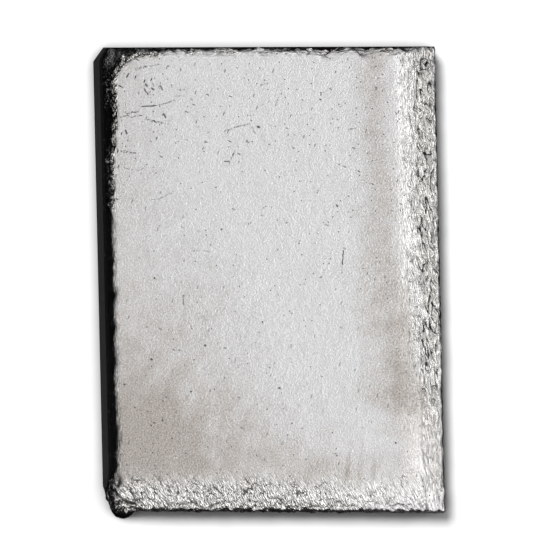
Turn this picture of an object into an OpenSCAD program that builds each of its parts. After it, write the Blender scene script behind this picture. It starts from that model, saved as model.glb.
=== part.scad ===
// Hand-poured silver ingot, ten troy ounces.
// One casting, lying on its wider face with its smaller face up.
// Its long way runs along Y, its front is at -Y, and the origin is at the middle of the base.

/* [Block] */
// Width of the base, from the left wall to the right wall
base_width = 46.6; // [40:0.1:60]
// Greatest length of the base, along the right wall
base_length = 64.2; // [56:0.1:80]
// Height of the flat upper face above the base
height = 10.8; // [8:0.1:14]
// Lean of every wall from the vertical, which lets the casting leave its mould
draft = 8; // [3:0.5:12]

/* [Out of square] */
// How much the back wall falls short at its right end
back_skew = 0.5; // [0:0.1:2]
// How much the front wall falls short at its left end
front_skew = 1.7; // [0:0.1:4]

/* [Shoulders] */
// Radius of the sharp edge between the upper face and the left wall
left_edge = 0.6; // [0.3:0.1:2]
// Radius of the sharp edge between the upper face and the back wall
back_edge = 0.6; // [0.3:0.1:2]
// Width of the sagging shoulder between the upper face and the right wall
right_shoulder_width = 6.2; // [3:0.1:7]
// Radius of the curve on which the right shoulder sags
right_shoulder_radius = 11; // [9:0.5:20]
// Width of the sagging shoulder between the upper face and the front wall
front_shoulder_width = 4; // [2:0.1:5]
// Radius of the curve on which the front shoulder sags
front_shoulder_radius = 8; // [7:0.5:16]

/* [Corners] */
// How far the blunt back left corner is cut along the back wall
back_left_cut_x = 1.4; // [0.8:0.1:3]
// How far the blunt back left corner is cut along the left wall
back_left_cut_y = 1.9; // [1:0.1:4]
// Radius of the upper edge of the blunt back left corner
back_left_roll = 2.2; // [1:0.1:3]
// How far the blunt front left corner is cut along the front wall
front_left_cut_x = 1; // [0.6:0.1:2]
// How far the blunt front left corner is cut along the left wall
front_left_cut_y = 3.2; // [1.5:0.1:5]
// Radius of the upper edge of the blunt front left corner
front_left_roll = 1.6; // [1:0.1:3]
// How far the blunt back right corner is cut along both walls
back_right_cut = 0.8; // [0.4:0.1:2]

/* [Droplet] */
// Radius of the droplet of spilt metal at the front left corner
droplet_radius = 1.7; // [1:0.1:2.2]
// Height of the droplet's centre above the base
droplet_rise = 0.8; // [0.5:0.1:1]
// Distance from the left wall to the droplet's centre, at the base
droplet_inset = 2.6; // [2.4:0.1:6]
// How far the droplet stands out past the front wall, at the base
droplet_reach = 1.3; // [0.6:0.1:1.5]

/* [Hidden] */
$fn = 96;

// Reach of the cutting shapes past the metal that they trim
spare = 12;

// Flats along the curve of each upper edge
curve_flats = 12;

half_width = base_width / 2;
half_length = base_length / 2;

// Corners of the base in plan, before they are blunted
back_left = [-half_width, half_length];
back_right = [half_width, half_length - back_skew];
front_right = [half_width, -half_length];
front_left = [-half_width, front_skew - half_length];

// Slopes of the two end walls across the ingot
back_slope = atan2(-back_skew, base_width);
front_slope = atan2(-front_skew, base_width);

// Centre of the droplet in plan, measured along the sloping front wall
droplet_across = front_left.x + droplet_inset;
droplet_along = front_left.y + droplet_inset * tan(front_slope) + droplet_radius - droplet_reach;

// An upper edge rounded so that it meets both the upper face and the wall smoothly,
// as its width on the upper face and its radius
function rounded(radius) = [radius * tan((90 - draft) / 2), radius];

// Points along the curve of an upper edge, from the wall up to the upper face.
// A curve of a larger radius than rounded() gives meets the wall at a blunt corner.
function edge_curve(edge_end, width, radius) =
    let (
        drop = asin(min(1, width / radius * cos(draft) + sin(draft))) - draft,
        centre = [edge_end - width, height - radius]
    )
    [
        for (i = [0 : curve_flats])
            let (turn = drop * (1 - i / curve_flats))
                centre + radius * [sin(turn), cos(turn)]
    ];

// The metal outside one wall, seen end on: x points out of the wall and y points up.
// foot is the distance from the origin to the foot of the wall, and edge is the width
// and the radius of its upper edge.
module outside_wall(foot, edge) {
    curve = edge_curve(foot - height * tan(draft), edge[0], edge[1]);
    inner = curve[curve_flats].x;
    outer = foot + 2 * spare;
    polygon(concat(
        [[foot + spare * tan(draft), -spare]],
        curve,
        [[inner, height + spare], [outer, height + spare], [outer, -spare]]
    ));
}

// Cuts away everything outside the wall whose foot passes through the point at,
// with its outward side turned to the heading, in degrees from +X.
module trim(heading, at, edge) {
    foot = at * [cos(heading), sin(heading)];
    rotate([90, 0, heading])
        linear_extrude(height = 2 * (base_length + spare), center = true)
            outside_wall(foot, edge);
}

// The block that the walls are trimmed from
module blank() {
    translate([-half_width, -half_length, 0])
        cube([base_width, base_length, height]);
}

// Spilt metal beside the front wall, flat where it met the base
module droplet() {
    translate([droplet_across, droplet_along, 0])
        intersection() {
            translate([0, 0, droplet_rise]) sphere(droplet_radius);
            cylinder(h = height, r = spare);
        }
}

// The block with its four leaning walls, before its corners are blunted
module walled_block() {
    difference() {
        blank();
        trim(0, front_right, [right_shoulder_width, right_shoulder_radius]);
        trim(90 + back_slope, back_left, rounded(back_edge));
        trim(180, back_left, rounded(left_edge));
        trim(270 + front_slope, front_right, [front_shoulder_width, front_shoulder_radius]);
    }
}

module ingot() {
    color("silver") {
        difference() {
            walled_block();
            trim(90 + atan2(back_left_cut_y, back_left_cut_x),
                back_left + [back_left_cut_x, 0], rounded(back_left_roll));
            trim(270 - atan2(front_left_cut_y, front_left_cut_x),
                front_left + [front_left_cut_x, 0], rounded(front_left_roll));
            trim(45, back_right - [back_right_cut, 0], rounded(back_edge));
        }
        droplet();
    }
}

ingot();
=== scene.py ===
"""A hand-poured silver ingot: its crinkled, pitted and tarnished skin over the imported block."""
import itertools
import math

import bpy
import numpy as np
from mathutils import Matrix, Vector
from mathutils.bvhtree import BVHTree
from mathutils.geometry import delaunay_2d_cdt


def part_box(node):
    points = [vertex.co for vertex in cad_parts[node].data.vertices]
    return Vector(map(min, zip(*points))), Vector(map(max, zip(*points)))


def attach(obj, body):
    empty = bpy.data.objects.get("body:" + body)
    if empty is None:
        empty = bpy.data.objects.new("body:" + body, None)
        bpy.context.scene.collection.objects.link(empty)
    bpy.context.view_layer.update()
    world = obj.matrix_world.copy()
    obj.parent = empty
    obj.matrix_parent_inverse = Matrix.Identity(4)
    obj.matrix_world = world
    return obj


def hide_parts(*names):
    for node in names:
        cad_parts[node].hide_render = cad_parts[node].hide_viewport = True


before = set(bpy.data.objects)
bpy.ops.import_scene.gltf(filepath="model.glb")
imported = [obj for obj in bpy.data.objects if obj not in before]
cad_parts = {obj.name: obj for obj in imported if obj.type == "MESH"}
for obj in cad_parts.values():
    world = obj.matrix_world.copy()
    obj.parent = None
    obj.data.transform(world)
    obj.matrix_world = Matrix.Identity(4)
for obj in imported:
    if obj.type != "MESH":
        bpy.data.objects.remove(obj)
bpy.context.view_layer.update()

MM = 0.001


# ---------------------------------------------------------------- sizes, in millimetres

low, high = (np.array(corner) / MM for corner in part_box("ingot"))
width, length, height = high - low

# Folds fill the right shoulder from its crest, which runs this far in from the wall
crest = 3.2
# Height on the left and back walls up to which the first of the metal froze dull
fill_line = 4.9
# How far the walls lean inward for each millimetre of height, and the least that the back does
draft = 0.14
least_back_draft = 0.09
# The face's rim bends round this centre at the back left, in from the left and back walls
rim_centre = (4.5, 4.3)

# Scratches and larger pits on the upper face: ends from its middle, thickness, darkness of painted
# shade
scratches = (
    ((8.9, 3.8), (8.7, 2.0), 0.11, 0.9), ((8.7, 2.0), (8.6, 0.7), 0.1, 0.75),
    ((-17.4, 23.3), (-15.6, 23.4), 0.12, 0.85), ((-15.4, 23.4), (-13.4, 23.9), 0.1, 0.6),
    ((-19.3, 22.5), (-17.9, 22.6), 0.17, 0.79), ((-16.9, 21.6), (-14.7, 21.1), 0.17, 0.79),
    ((-18.9, 21.9), (-17.2, 22.2), 0.14, 0.6), ((-20.2, 22.0), (-19.0, 22.2), 0.12, 0.55),
    ((-18.0, 28.2), (-16.6, 28.6), 0.18, 0.79), ((-16.2, 28.6), (-14.8, 28.9), 0.12, 0.5),
    ((-17.0, 25.6), (-16.5, 24.9), 0.15, 0.8), ((-15.9, 26.2), (-15.7, 25.9), 0.14, 0.6),
    ((-15.2, 26.1), (-15.0, 25.7), 0.13, 0.6), ((-19.6, 20.2), (-19.4, 19.8), 0.17, 0.85),
    ((-20.3, 17.5), (-18.3, 17.2), 0.15, 0.7), ((-19.9, 15.4), (-18.9, 15.0), 0.1, 0.45),
    ((-18.9, 15.0), (-17.5, 15.0), 0.1, 0.5), ((-17.5, 15.0), (-17.2, 15.4), 0.12, 0.6),
    ((-13.0, 24.7), (-11.9, 24.6), 0.12, 0.45), ((-12.6, 25.5), (-11.6, 25.4), 0.1, 0.35),
    ((-6.7, 19.8), (-5.6, 20.2), 0.11, 0.7), ((-5.2, 20.4), (-3.2, 20.8), 0.11, 0.7),
    ((-2.9, 20.3), (-2.4, 19.4), 0.12, 0.6), ((-2.1, 20.4), (-2.0, 20.3), 0.2, 0.95),
    ((-1.6, 25.9), (-0.6, 26.1), 0.11, 0.5), ((0.6, 23.9), (0.3, 23.2), 0.12, 0.6),
    ((-6.6, 15.9), (-6.0, 15.9), 0.12, 0.8), ((-5.3, 17.2), (-6.2, 15.2), 0.1, 0.6),
    ((9.9, 19.8), (10.9, 20.0), 0.12, 0.5), ((8.7, 23.2), (8.9, 22.8), 0.15, 0.5),
    ((-16.5, 11.0), (-15.3, 11.1), 0.1, 0.5), ((-15.3, 11.1), (-13.3, 12.2), 0.1, 0.45),
    ((-11.2, 4.2), (-10.3, 4.1), 0.12, 0.4), ((-9.8, 4.2), (-8.8, 4.1), 0.12, 0.4),
    ((-12.5, -1.6), (-12.5, -2.9), 0.12, 0.6), ((-11.9, -4.9), (-11.4, -6.2), 0.11, 0.5),
    ((-9.8, -8.3), (-9.7, -8.3), 0.18, 0.9), ((-16.9, -9.9), (-16.8, -10.0), 0.17, 0.85),
    ((8.1, 9.8), (8.2, 9.7), 0.17, 0.9), ((-0.1, -14.2), (0.0, -14.2), 0.17, 0.9),
    ((7.2, -23.1), (7.4, -23.3), 0.2, 0.7), ((5.7, 0.3), (5.9, 0.4), 0.15, 0.7),
    ((-20.5, -13.2), (-20.4, -13.2), 0.16, 0.8), ((-19.2, -16.2), (-19.1, -16.3), 0.15, 0.7),
    ((-19.3, 27.2), (-19.0, 27.7), 0.15, 0.85), ((-16.8, 26.3), (-16.6, 25.9), 0.14, 0.85),
    ((-16.0, 25.7), (-15.8, 25.5), 0.16, 0.8), ((-14.9, 26.0), (-14.6, 25.5), 0.13, 0.85),
    ((-13.4, 26.1), (-13.3, 25.8), 0.14, 0.7), ((-12.2, 28.3), (-12.1, 27.8), 0.12, 0.7),
    ((-10.9, 24.3), (-10.8, 24.1), 0.14, 0.6), ((-14.5, 22.3), (-14.3, 21.8), 0.14, 0.85),
)


# ---------------------------------------------------------------- shaping helpers

def ease(start, end, value):
    """0 before start and 1 after end, with a smooth climb between; end may be below start."""
    t = np.clip((value - start) / (end - start), 0, 1)
    return t * t * (3 - 2 * t)


def hump(centre, spread, value):
    """1 at the centre, falling smoothly to nothing a few spreads away."""
    return np.exp(-(((value - centre) / spread) ** 2))


def ripples(places, seed):
    """Smooth random hills and hollows, about -1 to 1, roughly one to each unit of distance."""
    rng = np.random.RandomState(seed)
    order = rng.permutation(256)
    slopes = rng.normal(size=(256, 3))
    slopes /= np.linalg.norm(slopes, axis=1)[:, None]
    cell = np.floor(places).astype(int)
    inside = places - cell
    fade = inside ** 3 * (inside * (inside * 6 - 15) + 10)
    total = np.zeros(len(places))
    for corner in itertools.product((0, 1), repeat=3):
        key = cell + corner
        pick = order[(order[(order[key[:, 0] & 255] + key[:, 1]) & 255] + key[:, 2]) & 255]
        share = np.where(corner, fade, 1 - fade).prod(axis=1)
        total += share * (slopes[pick] * (inside - corner)).sum(axis=1)
    return 1.6 * total


def seams(places, pitch, run, heading, seed):
    """A wandering pattern that passes through 0 along the seams between folds. The folds are
    pitch wide and run long, along a heading in degrees from +X, and they braid."""
    turn = math.radians(heading)
    wander = 0.45 * pitch * np.stack(
        [ripples(places / (1.7 * pitch) + 9.3, seed + 1), ripples(places / (2.3 * pitch), seed + 2)], 1)
    x = places[:, 0] + wander[:, 0]
    y = places[:, 1] + wander[:, 1]
    forward = (x * math.cos(turn) + y * math.sin(turn)) / run
    sideways = (y * math.cos(turn) - x * math.sin(turn)) / pitch
    return ripples(np.stack([forward, sideways, places[:, 2] / pitch], 1), seed)


def folds(seam):
    """Rounded folds with sharp creases along the seams, 0 in a crease."""
    return np.abs(seam) ** 0.75


# ---------------------------------------------------------------- the skin's mesh

def spaced(stops, gaps):
    """Positions from the first stop to the last, with an even gap between each pair of stops."""
    runs = [np.linspace(a, b, max(2, round((b - a) / gap) + 1))[:-1]
            for a, b, gap in zip(stops, stops[1:], gaps)]
    return np.concatenate(runs + [[stops[-1]]])


class Block:
    """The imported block, to be felt from inside with straight probes."""

    # Probes start from a core this far inside the block's sides, and at this height in it
    margin = 5.2
    core_height = 0.46 * height
    # The base's outline is felt this little above the base
    foot = 0.02

    def __init__(self):
        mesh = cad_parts["ingot"].data
        corners = [tuple(v.co / MM) for v in mesh.vertices]
        self.tree = BVHTree.FromPolygons(corners, [tuple(p.vertices) for p in mesh.polygons])
        self.core = [(low[a] + self.margin, high[a] - self.margin) for a in (0, 1)]

    def probe(self, start, toward):
        """Where the straight line from start through toward leaves the block."""
        heading = Vector(toward) - Vector(start)
        hit = self.tree.ray_cast(Vector(start), heading.normalized())[0]
        return np.array(hit) if hit is not None else np.array(toward, float)

    def anchor(self, x, y):
        """The nearest place in plan at which a probe starts."""
        return np.clip(x, *self.core[0]), np.clip(y, *self.core[1])

    def in_outline(self, x, y):
        """Moves a place in the bounding rectangle to the matching place in the base's outline."""
        ax, ay = self.anchor(x, y)
        share = max(abs(x - ax), abs(y - ay)) / self.margin
        if share < 1e-6:
            return x, y
        edge = self.probe((ax, ay, self.foot), (x, y, self.foot))
        return ax + share * (edge[0] - ax), ay + share * (edge[1] - ay)

    def on_skin(self, x, y, z, plan):
        """The place on the block's skin for a place on its bounding box."""
        ax, ay = self.anchor(x, y)
        return self.probe((ax, ay, self.core_height), (plan[0], plan[1], z))


def skin_points(block):
    """Walls and upper face of the skin as points, quads and the ring along the base's edge."""
    # Points lie closest on the right and front shoulders, and widest on the face and low walls
    across = spaced([low[0], low[0] + 4, high[0] - 7.5, high[0]], [0.2, 0.27, 0.12])
    along = spaced([low[1], low[1] + 6, high[1] - 4, high[1]], [0.16, 0.32, 0.2])
    up = spaced([0, height * 0.6, height], [0.5, 0.24])
    nx, ny, nz = len(across), len(along), len(up)
    plan, index, points = {}, {}, []
    for i, j in itertools.product(range(nx), range(ny)):
        rim = i in (0, nx - 1) or j in (0, ny - 1)
        plan[i, j] = block.in_outline(across[i], along[j])
        for k in (range(nz) if rim else [nz - 1]):
            index[i, j, k] = len(points)
            if k == 0:
                points.append((*plan[i, j], 0.0))
            else:
                points.append(block.on_skin(across[i], along[j], up[k], plan[i, j]))
    quads = []
    for i, j in itertools.product(range(nx - 1), range(ny - 1)):
        k = nz - 1
        quads.append((index[i, j, k], index[i + 1, j, k], index[i + 1, j + 1, k], index[i, j + 1, k]))
    for k in range(nz - 1):
        for i in range(nx - 1):
            for j, flip in ((0, False), (ny - 1, True)):
                quad = (index[i, j, k], index[i + 1, j, k], index[i + 1, j, k + 1], index[i, j, k + 1])
                quads.append(quad[::-1] if flip else quad)
        for j in range(ny - 1):
            for i, flip in ((nx - 1, False), (0, True)):
                quad = (index[i, j, k], index[i, j + 1, k], index[i, j + 1, k + 1], index[i, j, k + 1])
                quads.append(quad[::-1] if flip else quad)
    ring = [(i, 0) for i in range(nx)] + [(nx - 1, j) for j in range(1, ny)]
    ring += [(i, ny - 1) for i in range(nx - 2, -1, -1)] + [(0, j) for j in range(ny - 2, 0, -1)]
    return np.array(points, float), np.array(quads), [index[i, j, 0] for i, j in ring]


def softened(points, quads, pinned, rounds, keep):
    """Rounds off the flats of the block's upper edges; keep holds a point where it is 1."""
    # In each round a free point goes this share of the way to the middle of its neighbours
    step = 0.6
    edges = np.concatenate([quads[:, [0, 1]], quads[:, [1, 2]], quads[:, [2, 3]], quads[:, [3, 0]]])
    ends = np.concatenate([edges, edges[:, ::-1]])
    count = np.bincount(ends[:, 0], minlength=len(points))[:, None]
    free = (1 - keep)[:, None].copy()
    free[pinned] = 0
    for _ in range(rounds):
        near = points[ends[:, 1]]
        sums = np.stack([np.bincount(ends[:, 0], near[:, a], len(points)) for a in range(3)], 1)
        points = points + step * free * (sums / count - points)
    return points


def normals_of(points, quads):
    """Outward directions of the skin at its points."""
    first = points[quads[:, 2]] - points[quads[:, 0]]
    second = points[quads[:, 3]] - points[quads[:, 1]]
    faces = np.cross(first, second)
    total = np.zeros_like(points)
    for c in range(4):
        for a in range(3):
            total[:, a] += np.bincount(quads[:, c], faces[:, a], len(points))
    return total / np.maximum(np.linalg.norm(total, axis=1), 1e-12)[:, None]


# ---------------------------------------------------------------- relief of the cast surface

class Places:
    """Where each point of the skin lies, measured from the edges that the relief follows."""

    def __init__(self, points, block):
        self.p = points
        self.x, self.y, self.z = points.T
        lean = draft * self.z
        self.from_left = self.x - low[0] - lean
        self.from_right = high[0] - self.x - lean
        self.from_back = self.base_edge(block, high[1]) - self.y - lean
        self.from_front = self.y - self.base_edge(block, low[1]) - lean
        self.up = self.z / height
        self.on_top = ease(0.62, 0.9, self.up)
        left_of_centre = np.minimum(self.from_left - rim_centre[0], 0)
        behind_centre = np.minimum(self.from_back - rim_centre[1], 0)
        self.round_corner = np.hypot(left_of_centre, behind_centre)
        self.chilled = ease(8.5, 11.5, self.y) * ease(-13, -18, self.x)
        # How far a point lies past the face's rim there, which steps out along the left edge
        rim = 3.3 + 0.25 * ease(22, 18, self.y) + 0.3 * ease(18.5, 16.5, self.y)
        self.past_rim = self.round_corner - rim

    def base_edge(self, block, toward):
        """Y of the base's straight front or back edge, beside each point."""
        foot = block.foot
        left, right = (block.probe((x, 0, foot), (x, toward, foot)) for x in (low[0] + 6, high[0] - 6))
        slope = (right[1] - left[1]) / (right[0] - left[0])
        return left[1] + slope * (self.x - left[0])


def zone(share, depth, wrinkling, seam, across, along):
    """A zone of folds: how strongly each point belongs to it, how deep its folds are, how much
    fine wrinkling runs over them, the folds' seams, and places across and along its wrinkles."""
    return {"share": share, "depth": depth, "wrinkling": wrinkling * share, "seam": seam,
            "across": across, "along": along}


def right_folds(s):
    """Braided folds along the right shoulder, between a smooth crest and the edge."""
    start = crest + 0.3 * ripples(s.p / 2.9, 11)
    share = ease(start + 0.3, start - 0.3, s.from_right) * (0.55 + 0.65 * ease(-21, -9, s.y))
    share = share * (1 - 0.5 * hump(start - 0.2, 0.2, s.from_right)) * ease(0.1, 0.6, s.from_right)
    across = s.x + 0.16 * s.y + 0.4 * ripples(s.p / 1.7, 17)
    return zone(share, 0.95, 0.7, seams(s.p, 0.66, 3.6, 104, 21), across, -0.4 * s.y)


def roll_off(s):
    """The bright bend before the crest, finely wrinkled."""
    share = 0.65 * ease(6.3, 3.8, s.from_right) * ease(-30, -5, s.y)
    across = s.x + 0.16 * s.y + 0.4 * ripples(s.p / 1.7, 17)
    return zone(share, 0.16, 1.0, 1.4 * seams(s.p, 0.5, 1.6, 96, 16), across, -0.6 * s.y)


def back_right_crumple(s):
    """A knot of deep creases at the back end of the right shoulder."""
    share = 1.5 * hump(1.3, 1.2, s.from_right) * hump(2.0, 1.5, s.from_back)
    return zone(share, 0.9, 0.5, seams(s.p, 0.75, 1.6, 62, 26), s.x - 0.5 * s.y, 0.9 * s.y)


def front_hammering(s):
    """Short slanting wrinkles along the front shoulder, faint towards its right end."""
    start = 3.7 + 0.9 * ripples(s.p / 2.3, 31)
    share = ease(start + 2.2, start - 1.9, s.from_front) ** 1.6 * (0.5 + 0.5 * ease(16, -1, s.x))
    share = share * ease(0.1, 0.6, s.from_left)
    across, along = 0.84 * s.x + 0.54 * s.y, 0.6 * (0.84 * s.y - 0.54 * s.x)
    return zone(share, 0.3, 1.0, 1.4 * seams(s.p, 0.5, 2.4, -56, 41), across, along)


def front_left_swirl(s):
    """Deep diagonal folds running down to the droplet."""
    from_corner = np.hypot(s.from_left - 0.4, 0.9 * (s.from_front - 0.2))
    share = 1.8 * ease(3.4, 1.6, from_corner) * ease(0.3, 0.5, s.up)
    across, along = 0.84 * s.x + 0.54 * s.y, 0.84 * s.y - 0.54 * s.x
    return zone(share, 0.6, 0.5, swirl_seams(s), across, along)


def swirl_seams(s):
    """The seams between the deep diagonal folds at the front left corner."""
    return seams(s.p, 0.5, 2.6, -62, 81)


def chilled_rim(s):
    """Tight folds wrapped round the back left corner, where the metal chilled first."""
    reach = 0.9 + 0.4 * ease(21, 24, s.y)
    share = 1.8 * ease(-0.1, 0.2, s.past_rim) * ease(reach + 0.15, reach - 0.1, s.past_rim)
    share = share * s.chilled * ease(0.62, 0.8, s.up)
    faint = 0.3 * ease(1.0, 0.5, s.from_left) * ease(0.5, 0.75, s.up) * (1 - s.chilled)
    seam = seams(s.p, 0.5, 1.3, 45, 61)
    return zone(np.maximum(share, faint), 0.75, 1.2, seam, s.round_corner, s.from_left - s.from_back)


def back_tears(s):
    """Ragged nicks where the skin froze against the back wall."""
    share = ease(1.0, 0.5, s.from_back) * ease(0.55, 0.75, s.up) * ease(2.5, 4.5, s.from_left)
    share = share * (0.6 + 0.7 * ripples(s.p / 2.1, 52)) * ease(1.5, 4, s.from_right)
    return zone(np.maximum(share, 0), 0.8, 1.4, seams(s.p, 0.6, 1.5, 24, 51), s.y, 0.5 * s.x)


def smooth_forms(s):
    """The larger shapes under the folds: crest, edge ridge, bites, slumped corner and face."""
    crest_at = crest + 0.3 * ripples(s.p / 2.9, 11)
    crest_line = 0.16 * ease(-15, -7, s.y) * hump(crest_at, 0.35, s.from_right)
    edge_line = 0.16 * hump(0.6, 0.3, s.from_right) * s.on_top
    wave = 0.13 * ripples(s.p / 2.6, 72) + 0.09 * ripples(s.p / 0.9, 73)
    bite = -0.3 * (hump(-1.1, 0.7, s.y) + 0.8 * hump(-5.7, 0.6, s.y) + 0.6 * hump(-20, 1.1, s.y))
    left_edge = ease(0.9, 0.1, s.from_left) * s.on_top * (wave + bite)
    notch = -0.5 * hump(7.2, 1.0, s.x) - 0.4 * hump(12.3, 0.7, s.x)
    back_edge = ease(1.5, 0.3, s.from_back) * s.on_top * (notch + 0.12 * ripples(s.p / 1.4, 74))
    slump = 0.1 * hump(-0.1, 0.2, s.past_rim) - 0.5 * ease(0, 1, s.past_rim)
    slump = slump - 1.8 * ease(0.8, 2.2, s.past_rim)
    slump = slump * s.chilled * s.on_top
    open_face = s.on_top * ease(0.5, 4, np.minimum(s.from_left, s.from_back))
    sink = -0.1 * hump(0, 17, s.x) * hump(0, 24, s.y)
    face = open_face * (sink + 0.02 * ripples(s.p / 7.5, 101) + 0.006 * ripples(s.p / 1.7, 102))
    below = ease(0.9, 0.6, s.up)
    facing = ease(0.9, 0.3, np.minimum(s.from_right, s.from_front))
    knobs = 0.16 * folds(seams(s.p, 1.1, 2.6, 88, 92)) - 0.06
    laps = 0.03 * ripples(s.p / (4, 4, 1.1), 91) + facing * knobs
    return crest_line + edge_line + left_edge + back_edge + slump + face + below * laps


def overhangs(s):
    """How far the skin bulges over the front wall and the front left corner, as moves."""
    rising = ease(0.1, 0.75, s.up)
    front_lip = ease(3.0, 0.3, s.from_front) * rising * ease(1.5, 3.5, s.from_left)
    right_lip = ease(2.5, 0.3, s.from_right) * rising * ease(0.3, 2, s.from_back)
    back_lip = ease(2.0, 0.2, s.from_back) * rising
    swollen = ease(4.0, 0.4, s.from_left) * ease(5.5, 2.0, s.from_front) * rising
    moves = np.zeros_like(s.p)
    moves[:, 0] = right_lip * (0.16 * ripples(s.p / 0.9, 76) - 0.12) - 0.75 * swollen
    moves[:, 1] = -front_lip * (0.48 + 0.28 * ripples(s.p / 0.7, 75)) - 0.3 * swollen
    moves[:, 1] += back_lip * (0.42 + 0.25 * ripples(s.p / 0.8, 77))
    return moves


def folded_skin(s):
    """Adds up the zones of folds: their relief, and the layers that the metal's surface reads."""
    zones = [make(s) for make in (right_folds, roll_off, back_right_crumple, front_hammering,
                                  front_left_swirl, chilled_rim, back_tears)]
    relief = sum(z["share"] * z["depth"] * (folds(z["seam"]) - 0.45) for z in zones)
    strongest = np.array([z["share"] for z in zones]).argmax(axis=0)
    every = np.arange(len(strongest))
    layers = {}
    for name in ("share", "wrinkling", "seam", "across", "along"):
        layers[name] = np.array([z[name] for z in zones])[strongest, every]
    # Down the walls the wrinkles change with height as well
    layers["along"] = layers["along"] + 0.8 * s.z
    return relief, layers


def worn_share(s):
    """1 where the upper face is most dented and pitted, near its back left."""
    patch = 1.5 * np.exp(-(((s.x + 17.5) / 3.6) ** 2 + ((s.y - 23.5) / 4.2) ** 2))
    upper = 0.3 * ease(6, 14, s.y) * (1 + 0.6 * ripples(s.p / 4, 131))
    left = 0.45 * ease(4, 1, s.from_left) * ease(8, 13, s.y)
    return np.clip(patch + upper + left + 0.12, 0, 1)


def haze_and_shade_of(s):
    """Warm tarnish haze and painted reflection shade on the upper face, 0 on clean cool silver, 1 where
    thickest.
    """
    across = (s.x - low[0]) / width + 0.03 * ripples(s.p / 9, 111)
    along = (s.y - low[1]) / length + 0.02 * ripples(s.p / 7, 114)

    def cloud(cx, cy, rx, ry):
        return np.exp(-(((across - cx) / rx) ** 2 + ((along - cy) / ry) ** 2))

    left_side = 0.38 * hump(0.05, 0.13, across) + 0.25 * cloud(0.27, 0.45, 0.12, 0.12)
    lower_left = 0.85 * cloud(0.12, 0.15, 0.4, 0.11) + 0.4 * cloud(0.15, 0.27, 0.25, 0.15)
    lower_middle = 0.5 * cloud(0.6, 0.09, 0.2, 0.05)
    lower = ease(0.6, 0.4, along)
    right_band = (0.58 + 0.1 * lower) * hump(0.79 + 0.04 * lower, 0.055 + 0.03 * lower, across)
    right_band = right_band * ease(0.2, 0.27, along)
    lower_right = 0.7 * cloud(0.89, 0.25, 0.07, 0.15)
    fingers = 0
    for start in (0.69, 0.735, 0.78):
        line = start + 0.16 * (along - 0.12)
        fingers = fingers + 0.5 * hump(line, 0.008, across) * hump(0.095, 0.045, along)
    haze_and_shade = left_side + lower_left + lower_middle + right_band + lower_right + fingers
    lower_end = ease(-11, -20, s.y)
    front_end = ease(1.0, 4.0, s.from_front)
    haze_and_shade = haze_and_shade * front_end * ease(2.6, 4.5, s.from_right + 2.6 * lower_end)
    haze_and_shade = np.maximum(haze_and_shade, 0.45 * lower_end * ease(6.5, 4.5, s.from_right) * front_end)
    blotches = 0.6 * ripples(s.p / 2.6, 112) + 0.4 * ripples(s.p / 1.1, 113)
    return np.clip(haze_and_shade * (1 + 0.5 * blotches) + 0.12 * blotches, 0, 1.2)


def make_base(points, ring):
    """The base inside its edge ring: a shallow shrinkage hollow with a few ripples."""
    rim = points[ring][:, :2]
    # The hollow's points sway to and fro off an even grid, and keep clear of the rim
    gap, sway, clearance = 1.5, 0.4, 0.75
    near = spaced([low[0] + 1, high[0] - 1], [gap])
    far = spaced([low[1] + 1, high[1] - 1], [gap])
    grid = [(x + sway * math.sin(7 * y), y + sway * math.sin(5 * x)) for x in near for y in far]
    inner = [g for g in grid if np.hypot(*(rim - g).T).min() > clearance and inside_ring(g, rim)]
    flat = [Vector(p) for p in rim] + [Vector(g) for g in inner]
    loop = [(i, (i + 1) % len(rim)) for i in range(len(rim))]
    outline, _, faces, *_ = delaunay_2d_cdt(flat, loop, [], 1, 1e-5)
    places = np.array([(v.x, v.y, 0.0) for v in outline[len(rim):]])
    depth = np.array([np.hypot(*(rim - p[:2]).T).min() for p in places])
    creased = 0.05 * ease(0.3, 3, depth) * np.abs(ripples(places / 4.5, 121))
    places[:, 2] = 0.22 * ease(0.5, 9, depth) + creased
    return places, faces


def inside_ring(place, ring):
    """Whether a place in plan lies inside the closed ring."""
    a, b = ring, np.roll(ring, -1, axis=0)
    crosses = (a[:, 1] > place[1]) != (b[:, 1] > place[1])
    with np.errstate(divide="ignore", invalid="ignore"):
        at = a[:, 0] + (place[1] - a[:, 1]) * (b[:, 0] - a[:, 0]) / (b[:, 1] - a[:, 1])
    return (crosses & (place[0] < at)).sum() % 2 == 1


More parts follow.
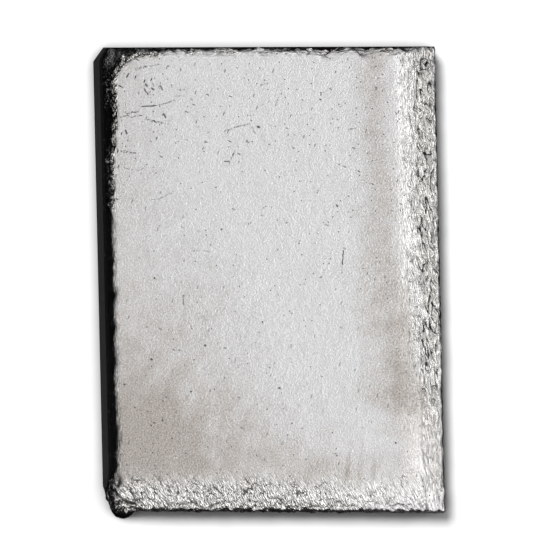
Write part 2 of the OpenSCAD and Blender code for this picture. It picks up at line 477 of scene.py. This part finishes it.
def make_skin():
    """The ingot's whole surface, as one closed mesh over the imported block."""
    block = Block()
    points, quads, ring = skin_points(block)
    bare = Places(points, block)
    right_edge = 0.8 * ease(1.4, 0.7, bare.from_right) * ease(0.5, 0.7, bare.up)
    crisp = np.maximum(ease(0.1, 0.02, bare.up), right_edge)
    points = softened(points, quads, ring, rounds=14, keep=crisp)
    s = Places(points, block)
    relief, folding = folded_skin(s)
    relief = (relief + smooth_forms(s)) * ease(0.0, 0.08, s.up)
    moved = points + normals_of(points, quads) * relief[:, None] + overhangs(s)
    shaped = np.clip(moved, low, high)
    back_wall = s.base_edge(block, high[1]) - least_back_draft * shaped[:, 2]
    shaped[:, 1] = np.minimum(shaped[:, 1], back_wall)
    inner, base_faces = make_base(shaped, ring)
    ring_then_inner = ring + [len(shaped) + i for i in range(len(inner))]
    faces = quads.tolist() + [[ring_then_inner[c] for c in reversed(face)] for face in base_faces]

    mesh = bpy.data.meshes.new("ingot_skin")
    mesh.from_pydata((np.concatenate([shaped, inner]) * MM).tolist(), [], faces)
    mesh.polygons.foreach_set("use_smooth", [True] * len(mesh.polygons))
    edge_keys = {tuple(sorted(pair)) for pair in zip(ring, ring[1:] + ring[:1])}
    sharp = mesh.attributes.new("sharp_edge", "BOOLEAN", "EDGE")
    sharp.data.foreach_set("value", [tuple(sorted(e.vertices)) in edge_keys for e in mesh.edges])
    layers = {"haze_and_shade": haze_and_shade_of(s), "mould_wall_and_shade": mould_wall_and_shade_share(s), "painted_dark_shade": painted_dark_shade_share(s),
              "worn": worn_share(s), "folded": folding.pop("share"), **folding}
    for name, values in layers.items():
        layer = mesh.attributes.new(name, "FLOAT", "POINT")
        padded = np.concatenate([values, np.zeros(len(inner))])
        layer.data.foreach_set("value", padded.astype(np.float32))
    mesh.validate()
    skin = bpy.data.objects.new("ingot_skin", mesh)
    bpy.context.collection.objects.link(skin)
    return skin


def mould_wall_and_shade_share(s):
    """1 on the left and back walls, which set against the mould and carry painted shade, and 0
    elsewhere.
    """
    left = ease(1.1, 0.3, s.from_left)
    back = ease(1.0, 0.3, s.from_back) * ease(1.2, 2.2, s.from_right)
    return np.maximum(left, back) * ease(0.99, 0.93, s.up)


def painted_dark_shade_share(s):
    """1 where painted dark shade lies: droplet, slumped corner, swirl, right and back edges."""
    droplet = ease(0.15, -0.25, s.from_front) * ease(6, 5, s.from_left) * ease(0.3, 0.15, s.up)
    corner = 0.95 * ease(0.9, 1.3, s.past_rim) * s.chilled * s.on_top
    swirl = ease(2.0, 1.0, np.hypot(s.from_left - 1.1, 0.55 * (s.from_front - 1.6)))
    swirl = 0.95 * swirl * ease(0.26, 0.12, np.abs(swirl_seams(s)))
    edge = 0.7 * ease(0.35, 0.05, s.from_right) * ease(-0.5, 0.0, ripples(s.p / 1.1, 57))
    back = 0.6 * ease(0.7, 0.2, s.from_back) * ease(-0.4, 0.2, ripples(s.p / 1.3, 58)) * s.on_top
    return np.maximum.reduce([droplet, corner, swirl, edge, back])


# ---------------------------------------------------------------- materials

def linear(hex_colour):
    """A colour given as sRGB hex, as the linear numbers that shaders use."""
    parts = [int(hex_colour[i:i + 2], 16) / 255 for i in (1, 3, 5)]
    return [*(c / 12.92 if c <= 0.04045 else ((c + 0.055) / 1.055) ** 2.4 for c in parts), 1.0]


def add(tree, kind, inputs=None, **settings):
    """Adds a node; each input is given a value, or the output of another node to link it to."""
    node = tree.nodes.new(kind)
    for name, value in settings.items():
        setattr(node, name, value)
    for key, value in (inputs or {}).items():
        if isinstance(value, bpy.types.NodeSocket):
            tree.links.new(value, node.inputs[key])
        else:
            node.inputs[key].default_value = value
    return node


def level(tree, value, start, end):
    """0 where value is start or before, 1 where it is end or past it, straight between."""
    inputs = {"Value": value, "From Min": start, "From Max": end}
    return add(tree, "ShaderNodeMapRange", inputs).outputs[0]


def maths(tree, operation, *values):
    """The outcome of a sum on values or outputs."""
    return add(tree, "ShaderNodeMath", dict(enumerate(values)), operation=operation).outputs[0]


def tinted(tree, share, under, over):
    """Colour over laid on colour under, as strongly as share."""
    inputs = {"Factor": share, "A": under, "B": over}
    return add(tree, "ShaderNodeMix", inputs, data_type="RGBA").outputs["Result"]


def stretched(tree, place, scale):
    """Places with each axis multiplied by its own scale."""
    return add(tree, "ShaderNodeVectorMath", {0: place, 1: scale}, operation="MULTIPLY").outputs[0]


def specks(tree, place, size, cell, share):
    """Scattered spots, size (x, y) across. Each cell is that size times cell, and about share of
    the cells hold a spot, which fades out between 0.3 and 0.55 of its size from its middle."""
    spots = stretched(tree, place, (1 / (cell * size[0]), 1 / (cell * size[1]), 1 / (cell * size[0])))
    found = add(tree, "ShaderNodeTexVoronoi", {"Vector": spots, "Scale": 1.0})
    picked = maths(tree, "LESS_THAN", found.outputs["Color"], share)
    spot = level(tree, found.outputs["Distance"], 0.55 / cell, 0.3 / cell)
    return maths(tree, "MULTIPLY", picked, spot)


def stroke(tree, place, start, end, thickness):
    """A scratch from start to end on the upper face, in millimetres from its middle. It fades out
    within one thickness to each side."""
    run = np.array(end) - np.array(start)
    offset = add(tree, "ShaderNodeVectorMath", {0: place, 1: (*start, 0)}, operation="SUBTRACT")
    offset = offset.outputs[0]
    step = tuple(run / (run @ run)) + (0.0,)
    share = add(tree, "ShaderNodeVectorMath", {0: offset, 1: step}, operation="DOT_PRODUCT")
    share = share.outputs["Value"]
    inside = add(tree, "ShaderNodeMath", {0: share, 1: 1.0}, operation="MULTIPLY", use_clamp=True)
    nearest = {0: (*run, 0), "Scale": inside.outputs[0]}
    nearest = add(tree, "ShaderNodeVectorMath", nearest, operation="SCALE").outputs[0]
    off = add(tree, "ShaderNodeVectorMath", {0: offset, 1: nearest}, operation="DISTANCE")
    return level(tree, off.outputs["Value"], thickness, thickness * 0.35)


def cast_silver():
    """Fine silver, hand poured and left as cast: a soft satin metal with brighter stretched
    folds, a warm tarnish haze and painted reflection shading, painted shade in its creases,
    walls, edges, pits and nicks, and fine gas pits and nicks."""
    material = bpy.data.materials.new("cast_silver")
    material.use_nodes = True
    tree = material.node_tree
    shader = tree.nodes["Principled BSDF"]
    place = add(tree, "ShaderNodeTexCoord").outputs["Object"]
    in_mm = stretched(tree, place, (1 / MM,) * 3)
    flat = stretched(tree, in_mm, (1, 1, 0))
    up = add(tree, "ShaderNodeSeparateXYZ", {0: in_mm}).outputs["Z"]
    names = ("haze_and_shade", "folded", "seam", "wrinkling", "across", "along", "mould_wall_and_shade", "painted_dark_shade", "worn")
    haze_and_shade, folded, seam, wrinkling, across, along, mould_wall_and_shade, painted_dark_shade, worn = (
        add(tree, "ShaderNodeAttribute", attribute_name=name).outputs["Fac"] for name in names)
    folding = add(tree, "ShaderNodeCombineXYZ", {"X": across, "Y": along, "Z": 0.0}).outputs[0]
    open_face = maths(tree, "SUBTRACT", 1.0, folded)

    # Grain of the frozen surface, about 0.3 mm and 0.15 mm, over a coarser 1 mm unevenness,
    # and the 0.22 mm speckle of the tarnish, drawn as coarse as it needs to show
    grains = {}
    for name, size, detail, rough in (("grain", 0.3, 3.0, 0.65), ("sparkle", 0.15, 1.0, 0.5),
                                      ("uneven", 1.0, 2.0, 0.5), ("speckle", 0.22, 1.0, 0.5)):
        inputs = {"Vector": in_mm, "Scale": 1 / size, "Detail": detail, "Roughness": rough}
        grains[name] = add(tree, "ShaderNodeTexNoise", inputs).outputs["Fac"]

    # Gas pits 0.19 and 0.29 mm across and short nicks 0.55 mm long, most where the face is worn
    often = maths(tree, "MULTIPLY_ADD", worn, 0.75, 0.22)
    pits = maths(tree, "MAXIMUM", specks(tree, in_mm, (0.17, 0.17), 4, often),
                 specks(tree, in_mm, (0.26, 0.26), 12, 0.5))
    slanted = {"Vector": in_mm, "Angle": 0.4}
    slanted = add(tree, "ShaderNodeVectorRotate", slanted, rotation_type="Z_AXIS").outputs[0]
    nicks = maths(tree, "MAXIMUM", specks(tree, slanted, (0.15, 0.5), 5, often),
                  specks(tree, slanted, (0.5, 0.15), 6, often))
    # Beads 0.22 mm across that the mould left on the walls
    beads = specks(tree, in_mm, (0.2, 0.2), 6, 0.3)

    # Scratches waver by up to 0.12 mm, and the fainter ones are broken into dots
    jitter = add(tree, "ShaderNodeTexNoise", {"Vector": flat, "Scale": 1 / 0.5, "Detail": 1.0})
    waver = stretched(tree, jitter.outputs["Color"], (0.24, 0.24, 0))
    waver = add(tree, "ShaderNodeVectorMath", {0: waver, 1: (0.12, 0.12, 0)}, operation="SUBTRACT")
    shaken = {0: flat, 1: waver.outputs[0]}
    shaken = add(tree, "ShaderNodeVectorMath", shaken, operation="ADD").outputs[0]
    broken = level(tree, grains["speckle"], 0.46, 0.56)
    scratch_shade = 0.0
    for start, end, thickness, strength in scratches:
        cut = stroke(tree, shaken, start, end, thickness)
        if strength < 0.8:
            cut = maths(tree, "MULTIPLY", cut, maths(tree, "MULTIPLY_ADD", broken, 0.95, 0.25))
        scratch_shade = maths(tree, "MAXIMUM", scratch_shade, maths(tree, "MULTIPLY", cut, strength))

    # Fine wrinkles, about 0.26 mm wide and 1 mm long, that run with the folds
    along_folds = stretched(tree, folding, (1 / 0.26, 1 / 0.95, 0))
    fine = {"Vector": along_folds, "Scale": 1.0, "Detail": 1.5, "Roughness": 0.5}
    fine = add(tree, "ShaderNodeTexNoise", fine).outputs["Fac"]
    wrinkle = maths(tree, "ABSOLUTE", maths(tree, "SUBTRACT", fine, 0.5))
    patchy = level(tree, grains["uneven"], 0.3, 0.45)
    # Masks for the painted shade in the fine and deep creases
    fine_crease_shade = maths(tree, "MULTIPLY", level(tree, wrinkle, 0.035, 0.008), wrinkling)
    deep_crease_shade = level(tree, maths(tree, "ABSOLUTE", seam), 0.12, 0.04)
    deep_crease_shade = maths(tree, "MULTIPLY", deep_crease_shade, folded)
    deep_crease_shade = maths(tree, "MULTIPLY", deep_crease_shade, patchy)

    # Colours: clean silver, haze with painted shading, folds, then painted shade in creases, walls,
    # edges and marks
    dark_dots = level(tree, grains["speckle"], 0.42, 0.66)
    speckled = maths(tree, "MULTIPLY", dark_dots, maths(tree, "MULTIPLY_ADD", haze_and_shade, 0.42, 0.1))
    nick_shade = maths(tree, "MULTIPLY", nicks, worn)
    # Warm tarnish and painted reflection shading: lighter and darker patches over the face
    tone = tinted(tree, haze_and_shade, linear("#f4f4f5"), linear("#c8c1bb"))
    tone = tinted(tree, speckled, tone, linear("#8f8a86"))
    tone = tinted(tree, maths(tree, "MULTIPLY", folded, 0.8), tone, linear("#efedea"))
    # Painted shade darkens the fine and deep creases, with some tarnish in them
    tone = tinted(tree, maths(tree, "MULTIPLY", fine_crease_shade, 0.7), tone, linear("#565350"))
    tone = tinted(tree, maths(tree, "MULTIPLY", deep_crease_shade, 0.9), tone, linear("#2a2826"))
    # Greyer left and back walls: dull mould skin, darkened further by painted shade
    tone = tinted(tree, mould_wall_and_shade, tone, linear("#a4a4a6"))
    # Painted dark shade on the droplet, slumped corner, swirl creases and right and back edges
    tone = tinted(tree, painted_dark_shade, tone, linear("#3a3a3b"))
    # Pits, nicks and scratches darkened by painted shade in their hollows and grooves
    tone = tinted(tree, maths(tree, "MULTIPLY", pits, 0.85), tone, linear("#33302e"))
    tone = tinted(tree, nick_shade, tone, linear("#2d2b29"))
    tone = tinted(tree, scratch_shade, tone, linear("#2f2d2c"))
    tree.links.new(tone, shader.inputs["Base Color"])

    # Satin on the face, glossier on the stretched folds; the walls are dull below the fill line
    satin = {"Value": grains["grain"], "To Min": 0.3, "To Max": 0.46}
    satin = add(tree, "ShaderNodeMapRange", satin).outputs[0]
    glossy = add(tree, "ShaderNodeMix", {"Factor": folded, "A": satin, "B": 0.2}).outputs["Result"]
    first_metal = level(tree, up, fill_line + 0.15, fill_line - 0.15)
    wall = add(tree, "ShaderNodeMix", {"Factor": first_metal, "A": 0.2, "B": 0.5}).outputs["Result"]
    rough = add(tree, "ShaderNodeMix", {"Factor": mould_wall_and_shade, "A": glossy, "B": wall}).outputs["Result"]
    tree.links.new(rough, shader.inputs["Roughness"])
    shader.inputs["Metallic"].default_value = 1.0

    # The finest relief, as heights in millimetres
    coarse = maths(tree, "MULTIPLY_ADD", haze_and_shade, 0.08, 0.05)
    depth = maths(tree, "MULTIPLY", grains["grain"], coarse)
    depth = maths(tree, "MULTIPLY_ADD", grains["sparkle"], 0.03, depth)
    depth = maths(tree, "MULTIPLY_ADD", grains["uneven"], 0.05, depth)
    depth = maths(tree, "MULTIPLY_ADD", maths(tree, "MULTIPLY", wrinkle, wrinkling), 0.6, depth)
    depth = maths(tree, "MULTIPLY_ADD", maths(tree, "MULTIPLY", nicks, open_face), 0.42, depth)
    depth = maths(tree, "MULTIPLY_ADD", maths(tree, "MULTIPLY", beads, mould_wall_and_shade), 0.2, depth)
    depth = maths(tree, "MULTIPLY_ADD", pits, -0.1, depth)
    bump = add(tree, "ShaderNodeBump", {"Height": depth, "Distance": MM, "Strength": 1.0})
    tree.links.new(bump.outputs[0], shader.inputs["Normal"])
    return material


# ---------------------------------------------------------------- studio

def make_floor():
    """A plain white tabletop with a painted contact shadow round the ingot, which the metal doesn't
    mirror.
    """
    half = 3.0
    corners = [(-half, -half, 0), (half, -half, 0), (half, half, 0), (-half, half, 0)]
    mesh = bpy.data.meshes.new("floor")
    mesh.from_pydata(corners, [], [(0, 1, 2, 3)])
    floor = bpy.data.objects.new("floor", mesh)
    bpy.context.collection.objects.link(floor)
    floor.visible_glossy = False
    paint = bpy.data.materials.new("white_tabletop")
    paint.use_nodes = True
    tree = paint.node_tree
    shader = tree.nodes["Principled BSDF"]
    # Painted contact shadow: the tabletop is darker within about a millimetre of the ingot's foot
    open_air = add(tree, "ShaderNodeAmbientOcclusion", {"Distance": 1.6 * MM}, samples=8).outputs["AO"]
    tone = tinted(tree, level(tree, open_air, 0.5, 0.97), linear("#b4b4b4"), linear("#f4f4f4"))
    tree.links.new(tone, shader.inputs["Base Color"])
    shader.inputs["Roughness"].default_value = 0.9
    shader.inputs["Specular IOR Level"].default_value = 0.0
    mesh.materials.append(paint)


def make_lamp(name, location, radius, power):
    """A round softbox that lights the tabletop from a place, aimed at the ingot."""
    lamp = bpy.data.lights.new(name, "AREA")
    lamp.shape = "DISK"
    lamp.size = 2 * radius
    lamp.energy = power
    holder = bpy.data.objects.new(name, lamp)
    holder.location = location
    holder.rotation_euler = (-holder.location).to_track_quat("-Z", "Y").to_euler()
    holder.visible_glossy = False
    bpy.context.collection.objects.link(holder)


def glow(tree, heading, toward, start, end):
    """A bright patch of the room toward a direction, from edge start to full at end, as cosines."""
    aim = tuple(Vector(toward).normalized())
    facing = add(tree, "ShaderNodeVectorMath", {0: heading, 1: aim}, operation="DOT_PRODUCT")
    inputs = {"Value": facing.outputs["Value"], "From Min": start, "From Max": end}
    return add(tree, "ShaderNodeMapRange", inputs, interpolation_type="SMOOTHSTEP").outputs[0]


def make_room():
    """A pale tent over a black table: bright overhead and to the right, black below the horizon."""
    world = bpy.data.worlds.new("pale_tent")
    world.use_nodes = True
    tree = world.node_tree
    heading = add(tree, "ShaderNodeTexCoord").outputs["Generated"]
    rise = add(tree, "ShaderNodeSeparateXYZ", {0: heading}).outputs["Z"]
    ramp = add(tree, "ShaderNodeValToRGB", {"Fac": maths(tree, "MULTIPLY_ADD", rise, 0.5, 0.5)})
    # Brightness of the tent from straight below, through the horizon at 0.5, to straight above
    stops = [(0.0, 0.012), (0.45, 0.018), (0.5, 0.085), (0.6, 0.2),
             (0.75, 0.325), (0.9, 0.392), (1.0, 0.423)]
    elements = ramp.color_ramp.elements
    while len(elements) < len(stops):
        elements.new(0.5)
    for element, (at, grey) in zip(elements, stops):
        element.position = at
        element.color = (grey, grey, grey, 1)
    dark_side = glow(tree, heading, (-0.8, 0.6, -0.1), 0.3, 0.85)
    shade = maths(tree, "MULTIPLY_ADD", dark_side, -0.85, 1.0)
    lit = maths(tree, "MULTIPLY", ramp.outputs["Color"], shade)
    # Bright panels: toward where, the cosines at their soft edge and full part, and strength
    panels = (((0.66, 0, 0.75), 0.84, 0.96, 1.25), ((0.95, -0.1, 0.3), 0.75, 0.93, 1.0),
              ((-0.1, -0.77, 0.64), 0.91, 0.97, 1.5), ((-0.2, 0.77, 0.64), 0.93, 0.98, 1.0),
              ((-0.62, 0.25, 0.74), 0.95, 0.99, 1.8))
    for toward, start, end, strength in panels:
        lit = maths(tree, "MULTIPLY_ADD", glow(tree, heading, toward, start, end), strength, lit)
    background = tree.nodes["Background"]
    background.inputs["Color"].default_value = (1, 1, 1, 1)
    bpy.context.scene.world = world

    # The lamps give the tabletop most of its light, so only a faint share of the tent's reaches it
    bounced = add(tree, "ShaderNodeLightPath").outputs["Diffuse Depth"]
    bounced = maths(tree, "MINIMUM", bounced, 1.0)
    strength = add(tree, "ShaderNodeMix", {"Factor": bounced, "A": lit, "B": 0.12}).outputs["Result"]
    tree.links.new(strength, background.inputs["Strength"])


def make_camera():
    """Nearly overhead, a little to the left, so that the left wall shows as a narrow band."""
    distance = 0.37
    # The view is this wide at the ingot
    seen_width = 0.0762
    tilt = math.radians(5.56)
    turn = math.radians(1.3)
    target = Vector((0.0014, 0.0001, 0))
    back = Vector((-math.sin(tilt), 0, math.cos(tilt)))
    lens = bpy.data.cameras.new("camera")
    lens.sensor_width = 36
    lens.lens = lens.sensor_width * distance / seen_width
    camera = bpy.data.objects.new("camera", lens)
    up = Vector((math.sin(turn), math.cos(turn), 0))
    right = up.cross(back).normalized()
    up = back.cross(right)
    camera.matrix_world = Matrix((right, up, back)).transposed().to_4x4()
    camera.location = target + back * distance
    bpy.context.collection.objects.link(camera)
    bpy.context.scene.camera = camera


skin = make_skin()
skin.data.materials.append(cast_silver())
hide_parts("ingot")
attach(skin, "root")
make_floor()
make_lamp("key_softbox", Vector((-0.25, 0.23, 1.0)), 0.11, 11.4)
make_lamp("fill_softbox", Vector((0.24, 0.1, 1.0)), 0.12, 1.6)
make_room()
make_camera()
bpy.context.scene.view_settings.view_transform = "Standard"
